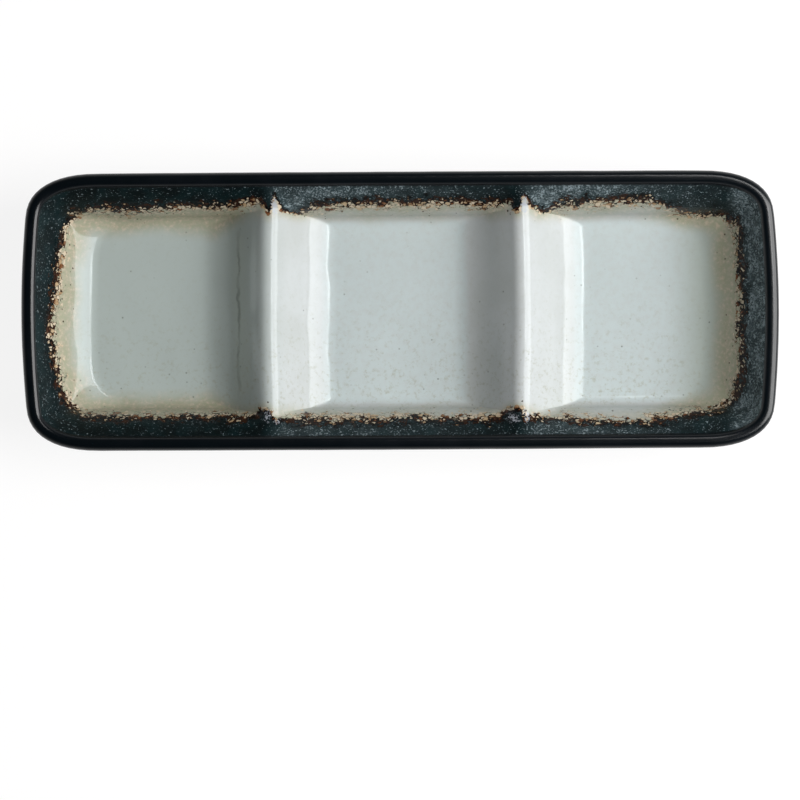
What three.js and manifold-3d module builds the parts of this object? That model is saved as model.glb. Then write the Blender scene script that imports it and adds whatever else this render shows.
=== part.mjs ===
// A three-well condiment dish in glazed stoneware: one fired clay body under fused coats of glaze.
// Millimetres, +Z up, +X along the length. The origin is on the table, under the middle of the dish.
import * as THREE from "three";
import { mergeVertices } from "three/addons/utils/BufferGeometryUtils.js";
import Module from "manifold-3d";

const wasm = await Module();
wasm.setup();

// Overall size of the glazed dish
const LENGTH = 245;
const WIDTH = 90;
const HEIGHT = 30;

// Plan of the rim: corners a little squarer than an ellipse, joined by sides that bow out a little
const CORNER_ALONG = 23;
const CORNER_ACROSS = 14;
const CORNER_POWER = 2.5;
const END_BOW = 3;
const SIDE_BOW = 0.2;

// Rounded lip of the clay, flatter on top than an ellipse. It starts part of the way up its inner side.
const LIP_WIDTH = 3.7;
const LIP_RISE = 1.8;
const LIP_POWER = 2.6;
const LIP_START = THREE.MathUtils.degToRad(35);

// Inside walls, from the floor to the lip. The ends sweep up in one curve. The sides rise steeply from a
// small fillet, given as a share of the wall's run, and then flare.
const FLOOR_LEVEL = 9.2;
const END_SWEEP = 2;
const SIDE_FILLET = 0.2;
const SIDE_FILLET_POWER = 0.25;
const SIDE_FLARE = 2;

// Two dividers, with straight flanks between a rounded crest and a fillet at the floor. They stand a little
// off the middle, as in the hand-finished dish.
const DIVIDER_SPACING = 82.7;
const DIVIDER_SHIFT = -1.6;
const CREST_LEVEL = 23.2;
const CREST_RADIUS = 4;
const DIVIDER_SLOPE = 0.97;
const FLOOR_FILLET = 4.5;
const JUNCTION_BLEND = 6;

// The arches under the dividers
const ARCH_HALF_WIDTH = 18;
const ARCH_LEVEL = 18;

// Outside walls, which tuck in from the lip to the belly
const END_TUCK = 20.5;
const END_TUCK_POWER = 1.7;
const SIDE_TUCK = 13;
const SIDE_TUCK_POWER = 1.5;

// Three low feet under the belly, each with an unglazed ring round a shallow recess
const BELLY_LEVEL = 2.4;
const FOOT_SETBACK = 1.5;
const FOOT_CORNER = 9;
const FOOT_EDGE = 0.8;
const FOOT_RING = 5;
const FOOT_RECESS = 2;
const FOOT_ROOT = 1.5;

// Glaze coats, and the heights on the inside wall where one gives way to the next
const DARK_COAT = 0.5;
const WELL_COAT = 0.8;
const BREAK_LOW = 18.6;
const BREAK_HIGH = 22.9;
const BREAK_END_DROP = 3;
const BARE_EDGE = 0.7;
const FOOT_CLEARANCE = 0.1;

// How finely the surfaces are divided
const DIVIDER_SHARES = [-1, -0.84, -0.68, -0.5, -0.3, -0.12, -0.06, 0, 0.06, 0.12, 0.3, 0.5, 0.68, 0.84, 1];
const WELL_STEPS = 2;
const CROSS_STEPS = 4;
const CORNER_STEPS = 6;
const INNER_STEPS = 6;
const LIP_STEPS = 2;
const OUTER_STEPS = 8;
const FOOT_CORNER_STEPS = 4;

// The bare clay lies one dark coat inside the glazed size
const halfLength = LENGTH / 2 - DARK_COAT;
const halfWidth = WIDTH / 2 - DARK_COAT;
const crownLevel = HEIGHT - DARK_COAT;
const lipBase = crownLevel - LIP_RISE;

// Corner centres in plan. Every contour of the body has its corners round these four points.
const poleX = halfLength - CORNER_ALONG;
const poleY = halfWidth - CORNER_ACROSS;

// The arches stand evenly about the middle. A crest is an arc up to its shoulder, where the flank starts.
const archX = DIVIDER_SPACING / 2;
const crestX = [DIVIDER_SHIFT - archX, DIVIDER_SHIFT + archX];
const crestShoulder = CREST_RADIUS * Math.sin(Math.atan(DIVIDER_SLOPE));
const shoulderDrop = CREST_RADIUS - Math.sqrt(CREST_RADIUS ** 2 - crestShoulder ** 2);
const flankFall = CREST_LEVEL - shoulderDrop - FLOOR_LEVEL + FLOOR_FILLET;
const dividerReach = crestShoulder + flankFall / DIVIDER_SLOPE;

// A point of the lip's section: how far it lies in from the outside, and its level
function lipPoint(angle) {
  const bulge = (share) => Math.sign(share) * Math.abs(share) ** (2 / LIP_POWER);
  return {
    inset: (LIP_WIDTH / 2) * (1 + bulge(Math.cos(angle))),
    level: lipBase + LIP_RISE * bulge(Math.sin(angle)),
  };
}

// Where the inside wall meets the lip
const lipInset = lipPoint(LIP_START).inset;
const wallTop = lipPoint(LIP_START).level;

const FOOT_ENDS = [
  [-poleX - CORNER_ALONG + END_TUCK, -archX - ARCH_HALF_WIDTH],
  [-archX + ARCH_HALF_WIDTH, archX - ARCH_HALF_WIDTH],
  [archX + ARCH_HALF_WIDTH, poleX + CORNER_ALONG - END_TUCK],
];

// The higher of two levels, with a fillet where they come closer than its reach
function filletedMax(a, b, reach) {
  const overlap = Math.max(reach - Math.abs(a - b), 0);
  return Math.max(a, b) + (reach > 0 ? (overlap * overlap) / (4 * reach) : 0);
}

// Where a divider or an arch runs into a wall, the fillet fades out towards the base level
function junction(a, b, base) {
  return filletedMax(a, b, Math.min(JUNCTION_BLEND, Math.min(a, b) - base));
}

// How far a divider has fallen from its crest
function crestDrop(offset) {
  if (offset > crestShoulder) return shoulderDrop + DIVIDER_SLOPE * (offset - crestShoulder);
  return CREST_RADIUS - Math.sqrt(CREST_RADIUS ** 2 - offset ** 2);
}

function insideLevel(x, wallLevel) {
  const offset = Math.min(...crestX.map((crest) => Math.abs(x - crest)));
  const divider = CREST_LEVEL - crestDrop(offset);
  return junction(wallLevel, filletedMax(divider, FLOOR_LEVEL, FLOOR_FILLET), FLOOR_LEVEL);
}

// An arch is a raised cosine, so that it runs smoothly into the belly
function outsideLevel(x, wallLevel) {
  const offset = Math.min(Math.abs(Math.abs(x) - archX) / ARCH_HALF_WIDTH, 1);
  const arch = BELLY_LEVEL + ((ARCH_LEVEL - BELLY_LEVEL) * (1 + Math.cos(Math.PI * offset))) / 2;
  return junction(wallLevel, arch, BELLY_LEVEL);
}

// How far the inside wall stands out from the corner centres at a level, along the length and across it
function insideRun(level) {
  const rise = (level - FLOOR_LEVEL) / (wallTop - FLOOR_LEVEL);
  const end = rise ** (1 / END_SWEEP);
  const side = SIDE_FILLET * rise ** SIDE_FILLET_POWER + (1 - SIDE_FILLET) * rise ** SIDE_FLARE;
  return { along: (CORNER_ALONG - lipInset) * end, across: (CORNER_ACROSS - lipInset) * side };
}

function outsideRun(level) {
  const drop = (lipBase - level) / (lipBase - BELLY_LEVEL);
  return {
    along: CORNER_ALONG - END_TUCK * drop ** END_TUCK_POWER,
    across: CORNER_ACROSS - SIDE_TUCK * drop ** SIDE_TUCK_POWER,
  };
}

// The sides bow out in the middle, so a point is drawn in towards the corners
function bowed(x, y, z) {
  const endDraw = 1 - (END_BOW / halfLength) * (y / halfWidth) ** 2;
  const sideDraw = 1 - (SIDE_BOW / halfWidth) * (x / halfLength) ** 2;
  return new THREE.Vector3(x * endDraw, y * sideDraw, z);
}

function spread(from, to, steps) {
  return Array.from({ length: steps + 1 }, (_, i) => from + ((to - from) * i) / steps);
}

// Stations along the length: close together over each divider, wider apart along the well floors
function lengthStations() {
  const reach = Math.max(dividerReach, ARCH_HALF_WIDTH);
  const overDivider = (centre) => DIVIDER_SHARES.map((share) => centre + share * reach);
  const between = (from, to) => spread(from, to, WELL_STEPS).slice(1, -1);
  return [
    -poleX,
    ...between(-poleX, crestX[0] - reach),
    ...overDivider(crestX[0]),
    ...between(crestX[0] + reach, crestX[1] - reach),
    ...overDivider(crestX[1]),
    ...between(crestX[1] + reach, poleX),
    poleX,
  ];
}

const alongStations = lengthStations();
const acrossStations = spread(-poleY, poleY, CROSS_STEPS);

// One closed contour in plan, counter-clockwise from the front left corner centre
function contour(run) {
  const bulge = (share) => Math.sign(share) * Math.abs(share) ** (2 / CORNER_POWER);
  const corner = (signX, signY, from) =>
    spread(from, from + Math.PI / 2, CORNER_STEPS)
      .slice(1, -1)
      .map((angle) => [
        signX * poleX + run.along * bulge(Math.cos(angle)),
        signY * poleY + run.across * bulge(Math.sin(angle)),
      ]);
  const x = poleX + run.along;
  const y = poleY + run.across;
  return [
    ...alongStations.map((s) => [s, -y]),
    ...corner(1, -1, -Math.PI / 2),
    ...acrossStations.map((s) => [x, s]),
    ...corner(1, 1, 0),
    ...alongStations.toReversed().map((s) => [s, y]),
    ...corner(-1, 1, Math.PI / 2),
    ...acrossStations.toReversed().map((s) => [-x, s]),
    ...corner(-1, -1, Math.PI),
  ];
}

// Triangles between neighbouring rows of points, without those that shrink to nothing at a corner centre
function triangles(rows, closed) {
  const found = [];
  const add = (a, b, c) => {
    if (a.distanceTo(b) > 1e-6 && b.distanceTo(c) > 1e-6 && c.distanceTo(a) > 1e-6) found.push(a, b, c);
  };
  for (let i = 0; i + 1 < rows.length; i++) {
    const last = closed ? rows[i].length : rows[i].length - 1;
    for (let j = 0; j < last; j++) {
      const k = (j + 1) % rows[i].length;
      add(rows[i][j], rows[i][k], rows[i + 1][k]);
      add(rows[i][j], rows[i + 1][k], rows[i + 1][j]);
    }
  }
  return found;
}

// The flat middle of the inside or the underside, between the corner centres
function middleRows(level) {
  return acrossStations.map((y) => alongStations.map((x) => bowed(x, y, level(x))));
}

function ringAt(run, level) {
  return contour(run).map(([x, y]) => bowed(x, y, level(x)));
}

function insideRings() {
  const levels = spread(0, 1, INNER_STEPS).map((s) => FLOOR_LEVEL + (wallTop - FLOOR_LEVEL) * s * s);
  return levels.map((wall) => ringAt(insideRun(wall), (x) => insideLevel(x, wall)));
}

// The lip runs over its crown from the inside wall, or down from the crown to the outside wall
function lipRings(from, to, steps) {
  return spread(from, to, steps).map((angle) => {
    const { inset, level } = lipPoint(angle);
    return ringAt({ along: CORNER_ALONG - inset, across: CORNER_ACROSS - inset }, () => level);
  });
}

function outsideRings() {
  const levels = spread(0, 1, OUTER_STEPS).map((s) => lipBase + (BELLY_LEVEL - lipBase) * s);
  return levels.map((wall) => ringAt(outsideRun(wall), (x) => outsideLevel(x, wall)));
}

function insideTriangles() {
  const rings = [...insideRings(), ...lipRings(LIP_START, Math.PI / 2, LIP_STEPS).slice(1)];
  const floor = middleRows((x) => insideLevel(x, FLOOR_LEVEL));
  return [...triangles(floor, false), ...triangles(outwards(rings), true)];
}

function outsideTriangles() {
  const flat = ringAt({ along: 0, across: 0 }, (x) => outsideLevel(x, BELLY_LEVEL));
  const rings = [...lipRings(Math.PI / 2, Math.PI, LIP_STEPS), ...outsideRings().slice(1), flat];
  const under = middleRows((x) => outsideLevel(x, BELLY_LEVEL)).toReversed();
  return [...triangles(under, false), ...triangles(outwards(rings), true)];
}

// Rings are listed from the middle outwards and over the lip, so each row is turned to face out of the clay
function outwards(rings) {
  return rings.map((ring) => ring.toReversed());
}

function geometryOf(points) {
  return new THREE.BufferGeometry().setFromPoints(points);
}

// Manifold solid of a closed geometry, and back
function solid(geometry) {
  const bare = new THREE.BufferGeometry().setAttribute("position", geometry.getAttribute("position"));
  if (geometry.index) bare.setIndex(geometry.index);
  const welded = mergeVertices(bare, 1e-4);
  return new wasm.Manifold(
    new wasm.Mesh({
      numProp: 3,
      vertProperties: new Float32Array(welded.attributes.position.array),
      triVerts: new Uint32Array(welded.index.array),
    }),
  );
}

function geometry(manifold) {
  const mesh = manifold.getMesh();
  const made = new THREE.BufferGeometry()
    .setAttribute("position", new THREE.BufferAttribute(mesh.vertProperties, 3))
    .setIndex(new THREE.BufferAttribute(mesh.triVerts, 1));
  made.computeVertexNormals();
  return made;
}

// The clay surface as welded triangles with smooth normals. The inside triangles come first.
const insidePoints = insideTriangles();
const outsidePoints = outsideTriangles();
const surface = mergeVertices(geometryOf([...insidePoints, ...outsidePoints]), 1e-4);
surface.computeVertexNormals();

// A coat over some of the surface's triangles: their outer copy, their own faces turned over, and a wall
// round the edge
function coatSolid(firstPoint, pointCount, thickness) {
  const position = surface.getAttribute("position");
  const normal = surface.getAttribute("normal");
  const used = Array.from(surface.index.array).slice(firstPoint, firstPoint + pointCount);
  const base = (i) => new THREE.Vector3().fromBufferAttribute(position, i);
  const outer = (i) => {
    const at = base(i);
    return at.clone().addScaledVector(new THREE.Vector3().fromBufferAttribute(normal, i), thickness(at));
  };
  const edges = new Map();
  const points = [];
  for (let t = 0; t < used.length; t += 3) {
    const corners = used.slice(t, t + 3);
    points.push(...corners.map(outer), ...corners.toReversed().map(base));
    corners.forEach((a, i) => {
      const b = corners[(i + 1) % 3];
      if (!edges.delete(`${b},${a}`)) edges.set(`${a},${b}`, [a, b]);
    });
  }
  for (const [a, b] of edges.values()) {
    // Both coats that share this wall cut it along the same diagonal
    if (a < b) points.push(base(a), base(b), outer(b), base(a), outer(b), outer(a));
    else points.push(base(a), base(b), outer(a), base(b), outer(b), outer(a));
  }
  return solid(geometryOf(points));
}

// An upright block over a contour of the inside wall, which parts the coat there. At the two ends of the
// dish the contour lies lower.
function contourBlock(level) {
  const run = { along: insideRun(level - BREAK_END_DROP).along, across: insideRun(level).across };
  const outline = contour(run).map(([x, y]) => bowed(x, y, 0));
  const shape = new THREE.Shape(outline);
  return solid(new THREE.ExtrudeGeometry(shape, { depth: 2 * HEIGHT, bevelEnabled: false }));
}

// An upright block over everything on one side of a divider's crest
function sideBlock(from, to) {
  const block = new THREE.BoxGeometry(to - from, 2 * WIDTH, 4 * HEIGHT);
  block.translate((from + to) / 2, 0, 0);
  return solid(block);
}

function roundedPlan(lowX, highX, halfY, corner) {
  const shape = new THREE.Shape();
  const radius = Math.min(corner, (highX - lowX) / 2, halfY);
  shape.absarc(highX - radius, -halfY + radius, radius, -Math.PI / 2, 0);
  shape.absarc(highX - radius, halfY - radius, radius, 0, Math.PI / 2);
  shape.absarc(lowX + radius, halfY - radius, radius, Math.PI / 2, Math.PI);
  shape.absarc(lowX + radius, -halfY + radius, radius, Math.PI, 1.5 * Math.PI);
  shape.closePath();
  return shape;
}

const footHalfY = poleY + CORNER_ACROSS - SIDE_TUCK - FOOT_SETBACK;

// A block with a foot's plan, grown sideways, between two levels
function footBlock([lowX, highX], grow, from, to) {
  const plan = roundedPlan(
    lowX + FOOT_SETBACK - grow,
    highX - FOOT_SETBACK + grow,
    footHalfY + grow,
    FOOT_CORNER + grow,
  );
  const block = new THREE.ExtrudeGeometry(plan, {
    depth: to - from,
    bevelEnabled: false,
    curveSegments: FOOT_CORNER_STEPS,
  });
  block.translate(0, 0, from);
  return solid(block);
}

// A foot: a thin sole, drawn in so that its edge is eased, under the part that roots in the belly
function foot(ends) {
  const sole = footBlock(ends, -FOOT_EDGE / 2, 0, FOOT_EDGE);
  const stem = footBlock(ends, 0, FOOT_EDGE / 2, BELLY_LEVEL + FOOT_ROOT);
  const recess = footBlock(ends, -FOOT_RING, -FOOT_RECESS, FOOT_RECESS);
  return sole.add(stem).subtract(recess);
}

function clayBody() {
  const feet = FOOT_ENDS.map(foot);
  return feet.reduce((body, each) => body.add(each), solid(surface));
}

// The outside coat carries on down the sides of the feet, and stops short of the table
function outsideCoat() {
  const skin = coatSolid(insidePoints.length, outsidePoints.length, () => DARK_COAT);
  const sleeveTop = BELLY_LEVEL - DARK_COAT / 2;
  return FOOT_ENDS.reduce((coat, ends) => {
    const sleeve = footBlock(ends, FOOT_CLEARANCE + DARK_COAT, BARE_EDGE, sleeveTop);
    return coat.add(sleeve).subtract(footBlock(ends, FOOT_CLEARANCE, -HEIGHT, HEIGHT / 2));
  }, skin);
}

// The well glaze is thicker than the dark glaze above it
function insideThickness(at) {
  const share = THREE.MathUtils.smoothstep(at.z, BREAK_LOW, BREAK_HIGH);
  return THREE.MathUtils.lerp(WELL_COAT, DARK_COAT, share);
}

const body = clayBody();
const outside = outsideCoat();
const inside = coatSolid(0, insidePoints.length, insideThickness);
const [belowBand, speckledBand] = inside.split(contourBlock(BREAK_HIGH));
const [wells, breakBand] = belowBand.split(contourBlock(BREAK_LOW));
const [leftWell, otherWells] = wells.split(sideBlock(-LENGTH, crestX[0]));
const [rightWell, centreWell] = otherWells.split(sideBlock(crestX[1], LENGTH));

function ceramic(color, roughness) {
  return new THREE.MeshStandardMaterial({ color, roughness, metalness: 0 });
}

const bareStoneware = ceramic(0x8d7d6b, 0.9);
const mattBlackGlaze = ceramic(0x1d2025, 0.55);
const speckledDarkGlaze = ceramic(0x1b262b, 0.35);
const rustGlaze = ceramic(0x8a6238, 0.3);
const celadonGlaze = ceramic(0xb9c2bd, 0.12);

const dish = new THREE.Group();
function addPiece(name, manifold, material) {
  const mesh = new THREE.Mesh(geometry(manifold), material);
  mesh.name = name;
  dish.add(mesh);
}

addPiece("stoneware_body", body, bareStoneware);
addPiece("outer_black_glaze", outside, mattBlackGlaze);
addPiece("speckled_band_glaze", speckledBand, speckledDarkGlaze);
addPiece("rust_break_glaze", breakBand, rustGlaze);
addPiece("left_well_glaze", leftWell, celadonGlaze);
addPiece("centre_well_glaze", centreWell, celadonGlaze);
addPiece("right_well_glaze", rightWell, celadonGlaze);

export default dish;
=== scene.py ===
import math

import bpy
import numpy as np
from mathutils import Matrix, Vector, noise


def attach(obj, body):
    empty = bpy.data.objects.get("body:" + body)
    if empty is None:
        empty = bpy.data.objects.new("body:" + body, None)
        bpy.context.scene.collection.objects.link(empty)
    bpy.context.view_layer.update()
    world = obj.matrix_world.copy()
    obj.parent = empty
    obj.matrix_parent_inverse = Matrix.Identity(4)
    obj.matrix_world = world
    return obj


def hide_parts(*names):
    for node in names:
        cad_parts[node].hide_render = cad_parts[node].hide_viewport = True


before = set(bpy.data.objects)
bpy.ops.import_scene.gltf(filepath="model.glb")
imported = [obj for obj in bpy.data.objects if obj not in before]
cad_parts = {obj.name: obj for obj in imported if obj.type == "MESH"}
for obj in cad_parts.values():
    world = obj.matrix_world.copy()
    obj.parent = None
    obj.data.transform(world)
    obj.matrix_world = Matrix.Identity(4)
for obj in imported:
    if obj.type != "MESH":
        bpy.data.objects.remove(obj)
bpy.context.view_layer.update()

# Shape of the dish, in millimetres, as in the part's source
MM = 0.001
LENGTH = 245
WIDTH = 90
HEIGHT = 30
DARK_COAT = 0.5
WELL_COAT = 0.8
HALF_LENGTH = LENGTH / 2 - DARK_COAT
HALF_WIDTH = WIDTH / 2 - DARK_COAT
CROWN = HEIGHT - DARK_COAT
CORNER_ALONG = 23
CORNER_ACROSS = 14
CORNER_POWER = 2.5
END_BOW = 3
SIDE_BOW = 0.2
LIP_WIDTH = 3.7
LIP_RISE = 1.8
LIP_POWER = 2.6
LIP_START = math.radians(35)
LIP_BASE = CROWN - LIP_RISE
FLOOR = 9.2
END_SWEEP = 2
SIDE_FILLET = 0.2
SIDE_FILLET_POWER = 0.25
SIDE_FLARE = 2
ARCH_X = 82.7 / 2
DIVIDER_SHIFT = -1.6
CREST_X = (DIVIDER_SHIFT - ARCH_X, DIVIDER_SHIFT + ARCH_X)
CREST = 23.2
CREST_RADIUS = 4
DIVIDER_SLOPE = 0.97
JUNCTION_BLEND = 6
ARCH_HALF_WIDTH = 18
ARCH = 18
END_TUCK = 20.5
END_TUCK_POWER = 1.7
SIDE_TUCK = 13
SIDE_TUCK_POWER = 1.5
BELLY = 2.4
FOOT_SETBACK = 1.5
FOOT_CORNER = 9
FOOT_EDGE = 0.8
FOOT_RING = 5
FOOT_RECESS = 2
FOOT_ROOT = 1.5
BREAK_LOW = 18.6
BREAK_HIGH = 22.9
BREAK_END_DROP = 3
BARE_EDGE = 0.7
FOOT_CLEARANCE = 0.1
POLE_X = HALF_LENGTH - CORNER_ALONG
POLE_Y = HALF_WIDTH - CORNER_ACROSS
CREST_SHOULDER = CREST_RADIUS * math.sin(math.atan(DIVIDER_SLOPE))
SHOULDER_DROP = CREST_RADIUS - math.sqrt(CREST_RADIUS**2 - CREST_SHOULDER**2)


def lip_point(angle):
    """How far a point of the lip's section lies in from the outside, and its level."""
    c, s = (math.copysign(abs(v) ** (2 / LIP_POWER), v) for v in (math.cos(angle), math.sin(angle)))
    return LIP_WIDTH / 2 * (1 + c), LIP_BASE + LIP_RISE * s


LIP_INSET, WALL_TOP = lip_point(LIP_START)

# The glaze pools along the foot of the walls and dividers in a round fillet, and in the corners of the floor
POOL_FILLET = 6.0
POOL_RADIUS = 5.0
POOL_CORNER_ALONG = 8.0
POOL_CORNER_ACROSS = 11.0
POOL_RISE = 7.0
POOL_STEPS = 400
# Stations along the floor that lie further out than this are drawn in with the corners
EASE_FROM = 66.0
# Keeps a fillet of no reach from dividing by nothing
LEAST_REACH = 1e-9


def filleted_max(a, b, reach):
    """The higher of two levels, with a fillet where they come within the reach of each other."""
    overlap = np.maximum(reach - np.abs(a - b), 0)
    return np.maximum(a, b) + np.where(reach > 0, overlap**2 / (4 * np.maximum(reach, LEAST_REACH)), 0)


def junction(a, b, base):
    """The higher of two levels, with a fillet that dies out towards the base."""
    return filleted_max(a, b, np.minimum(JUNCTION_BLEND, np.minimum(a, b) - base))


def inside_level(x, wall):
    """Level of the inside at a station, where the wall alone would have the given level."""
    offset = np.minimum(np.abs(x - CREST_X[0]), np.abs(x - CREST_X[1]))
    arc = CREST_RADIUS - np.sqrt(CREST_RADIUS**2 - np.minimum(offset, CREST_SHOULDER) ** 2)
    flank = SHOULDER_DROP + DIVIDER_SLOPE * (offset - CREST_SHOULDER)
    divider = CREST - np.where(offset > CREST_SHOULDER, flank, arc)
    return junction(wall, filleted_max(divider, FLOOR, POOL_FILLET), FLOOR)


def outside_level(x, wall):
    """Level of the underside at a station, where the wall alone would have the given level."""
    offset = np.minimum(np.abs(np.abs(x) - ARCH_X) / ARCH_HALF_WIDTH, 1)
    return junction(wall, BELLY + (ARCH - BELLY) * (1 + np.cos(np.pi * offset)) / 2, BELLY)


def smoothstep(x, low, high):
    t = np.clip((x - low) / (high - low), 0, 1)
    return t * t * (3 - 2 * t)


def wall_rise(level):
    return np.clip((level - FLOOR) / (WALL_TOP - FLOOR), 0, 1)


def side_run(level):
    """How far a long wall without its pool lies out from the upper corner centres."""
    rise = wall_rise(level)
    share = SIDE_FILLET * rise**SIDE_FILLET_POWER + (1 - SIDE_FILLET) * rise**SIDE_FLARE
    return (CORNER_ACROSS - LIP_INSET) * share


def pool_arc(height):
    """How far the round pool reaches out at a height over the floor."""
    return np.sqrt(np.maximum(POOL_RADIUS**2 - (POOL_RADIUS - height) ** 2, 0))


# The pool starts as far out as it can without passing the wall, and ends where it touches it
pool_heights = np.linspace(0, POOL_RADIUS, POOL_STEPS)[1:]
pool_gaps = side_run(FLOOR + pool_heights) - pool_arc(pool_heights)
POOL_START = pool_gaps.min()
POOL_TOP = pool_heights[pool_gaps.argmin()]


def inside_run(level):
    """How far the inside wall lies out from the upper corner centres, along and across."""
    pool = POOL_START + pool_arc(np.minimum(level - FLOOR, POOL_RADIUS))
    side = np.where(level < FLOOR + POOL_TOP, pool, side_run(level))
    return (CORNER_ALONG - LIP_INSET) * wall_rise(level) ** (1 / END_SWEEP), side


def corner_ease(level):
    """How far the corner centres stand in from the upper ones at a level, along and across."""
    share = 1 - smoothstep(level, FLOOR, FLOOR + POOL_RISE)
    return POOL_CORNER_ALONG * share, (POOL_CORNER_ACROSS - POOL_START) * share


def outside_run(level):
    """How far the outside lies out from the upper corner centres, along and across."""
    drop = np.clip((LIP_BASE - level) / (LIP_BASE - BELLY), 0, 1)
    return (
        CORNER_ALONG - END_TUCK * drop**END_TUCK_POWER,
        CORNER_ACROSS - SIDE_TUCK * drop**SIDE_TUCK_POWER,
    )


def bowed(x, y):
    """A place in plan, with the ends and the sides bowed out."""
    return (
        x * (1 - END_BOW / HALF_LENGTH * (y / HALF_WIDTH) ** 2),
        y * (1 - SIDE_BOW / HALF_WIDTH * (x / HALF_LENGTH) ** 2),
    )


def graded(breaks, counts):
    """Numbers from break to break, evenly spread between each two."""
    parts = [np.linspace(a, b, n, endpoint=False) for a, b, n in zip(breaks, breaks[1:], counts)]
    return np.concatenate([*parts, breaks[-1:]])


# Columns of the surface: stations along the length, close together over the divider crests, stations across the
# ends, and steps round the corners
DIVIDER_REACH = 22.2
DIVIDER_BREAKS = (0, 3, 5, 12, DIVIDER_REACH)
DIVIDER_STEPS = (8, 3, 7, 9)
LEFT_STATIONS, CENTRE_STATIONS, RIGHT_STATIONS = 18, 20, 20
ACROSS_STATIONS = 35
CORNER_STEPS = 12
half_divider = graded(DIVIDER_BREAKS, DIVIDER_STEPS)
over_divider = np.concatenate([-half_divider[:0:-1], half_divider])
along = np.concatenate([
    np.linspace(-POLE_X, CREST_X[0] - DIVIDER_REACH, LEFT_STATIONS)[:-1],
    over_divider + CREST_X[0],
    np.linspace(CREST_X[0] + DIVIDER_REACH, CREST_X[1] - DIVIDER_REACH, CENTRE_STATIONS)[1:-1],
    over_divider + CREST_X[1],
    np.linspace(CREST_X[1] + DIVIDER_REACH, POLE_X, RIGHT_STATIONS)[1:],
])
across = np.linspace(-POLE_Y, POLE_Y, ACROSS_STATIONS)


def contour_columns():
    """Each column's base on the box of corner centres, its outward shares along and across, and its share of
    an end."""
    rows = []

    def corner(sign_x, sign_y, start):
        for angle in np.linspace(start, start + math.pi / 2, CORNER_STEPS + 1)[1:-1]:
            c, s = math.cos(angle), math.sin(angle)
            bulge = 2 / CORNER_POWER
            rows.append((
                sign_x * POLE_X, sign_y * POLE_Y,
                math.copysign(abs(c) ** bulge, c), math.copysign(abs(s) ** bulge, s), c * c,
            ))

    rows += [(s, -POLE_Y, 0, -1, 0) for s in along]
    corner(1, -1, -math.pi / 2)
    rows += [(POLE_X, s, 1, 0, 1) for s in across]
    corner(1, 1, 0)
    rows += [(s, POLE_Y, 0, 1, 0) for s in along[::-1]]
    corner(-1, 1, math.pi / 2)
    rows += [(-POLE_X, s, -1, 0, 1) for s in across[::-1]]
    corner(-1, -1, math.pi)
    return np.array(rows, float).T


base_x, base_y, share_x, share_y, end_share = contour_columns()
COLUMNS = len(base_x)


def eased(x, y, ease):
    """Places on the box of corner centres, drawn in with those centres."""
    spare = np.maximum(np.abs(x) - EASE_FROM, 0) * ease[0] / (POLE_X - EASE_FROM)
    return x - np.sign(x) * spare, y * (1 - ease[1] / POLE_Y)


def plan(run_along, run_across, ease=(0, 0)):
    """A ring in plan that lies so far out from the corner centres."""
    x, y = eased(base_x, base_y, ease)
    return x + (run_along + ease[0]) * share_x, y + (run_across + ease[1]) * share_y


def floor_ring(share):
    """A ring of the flat floor, from the box of corner centres out to the foot of the walls."""
    ease = corner_ease(FLOOR)
    x, y = plan(-ease[0] * (1 - share), (POOL_START + ease[1]) * share - ease[1], ease)
    return x, y, inside_level(x, np.full(COLUMNS, FLOOR))


def inside_ring(level):
    """A ring of the inside wall, which lies lower at the two ends as the glaze borders do."""
    levels = (FLOOR, BREAK_LOW, BREAK_HIGH, WALL_TOP)
    drop = np.interp(level, levels, (0, BREAK_END_DROP, BREAK_END_DROP, 0))
    wall = level - drop * end_share
    x, y = plan(*inside_run(wall), corner_ease(wall))
    return x, y, inside_level(x, wall)


def lip_ring(angle):
    inset, level = lip_point(angle)
    x, y = plan(CORNER_ALONG - inset, CORNER_ACROSS - inset)
    return x, y, np.full(COLUMNS, level)


def outside_ring(level):
    x, y = plan(*outside_run(np.full(COLUMNS, level)))
    return x, y, outside_level(x, np.full(COLUMNS, level))


# Points that agree to this many decimals of a millimetre are one point
WELD_DECIMALS = 5


class Surface:
    """Quads of the whole clay surface, each with the name of the coat that covers it."""

    def __init__(self):
        self.points, self.faces, self.zones, self.count = [], [], [], 0

    def rows(self, rows, zones, closed):
        """Joins neighbouring rows of points. A zone is a name for all of a row of quads, or a function of x."""
        width = len(rows[0][0])
        for x, y, z in rows:
            self.points.append(np.stack([x, y, z], 1))
        last = width if closed else width - 1
        for i, zone in enumerate(zones):
            for j in range(last):
                k = (j + 1) % width
                a, b = self.count + i * width, self.count + (i + 1) * width
                self.faces.append((a + j, a + k, b + k, b + j))
                middle = (rows[i][0][j] + rows[i][0][k]) / 2
                self.zones.append(zone(middle) if callable(zone) else zone)
        self.count += len(rows) * width

    def weld(self):
        """Points in their bowed places and in plan, the faces between them, and the zone of each face."""
        flat = np.concatenate(self.points)
        plan_xy = flat[:, :2].copy()
        flat[:, 0], flat[:, 1] = bowed(plan_xy[:, 0], plan_xy[:, 1])
        _, first, place = np.unique(
            np.round(flat, WELD_DECIMALS), axis=0, return_index=True, return_inverse=True
        )
        place = place.ravel()
        faces, zones = [], []
        for face, zone in zip(self.faces, self.zones):
            kept = list(dict.fromkeys(int(place[v]) for v in face))
            if len(kept) > 2:
                faces.append(kept)
                zones.append(zone)
        return flat[first], plan_xy[first], faces, np.array(zones)


def well_name(x):
    return "left_well" if x < CREST_X[0] else "right_well" if x > CREST_X[1] else "centre_well"


def reverse(row):
    return tuple(values[::-1] for values in row)


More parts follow.
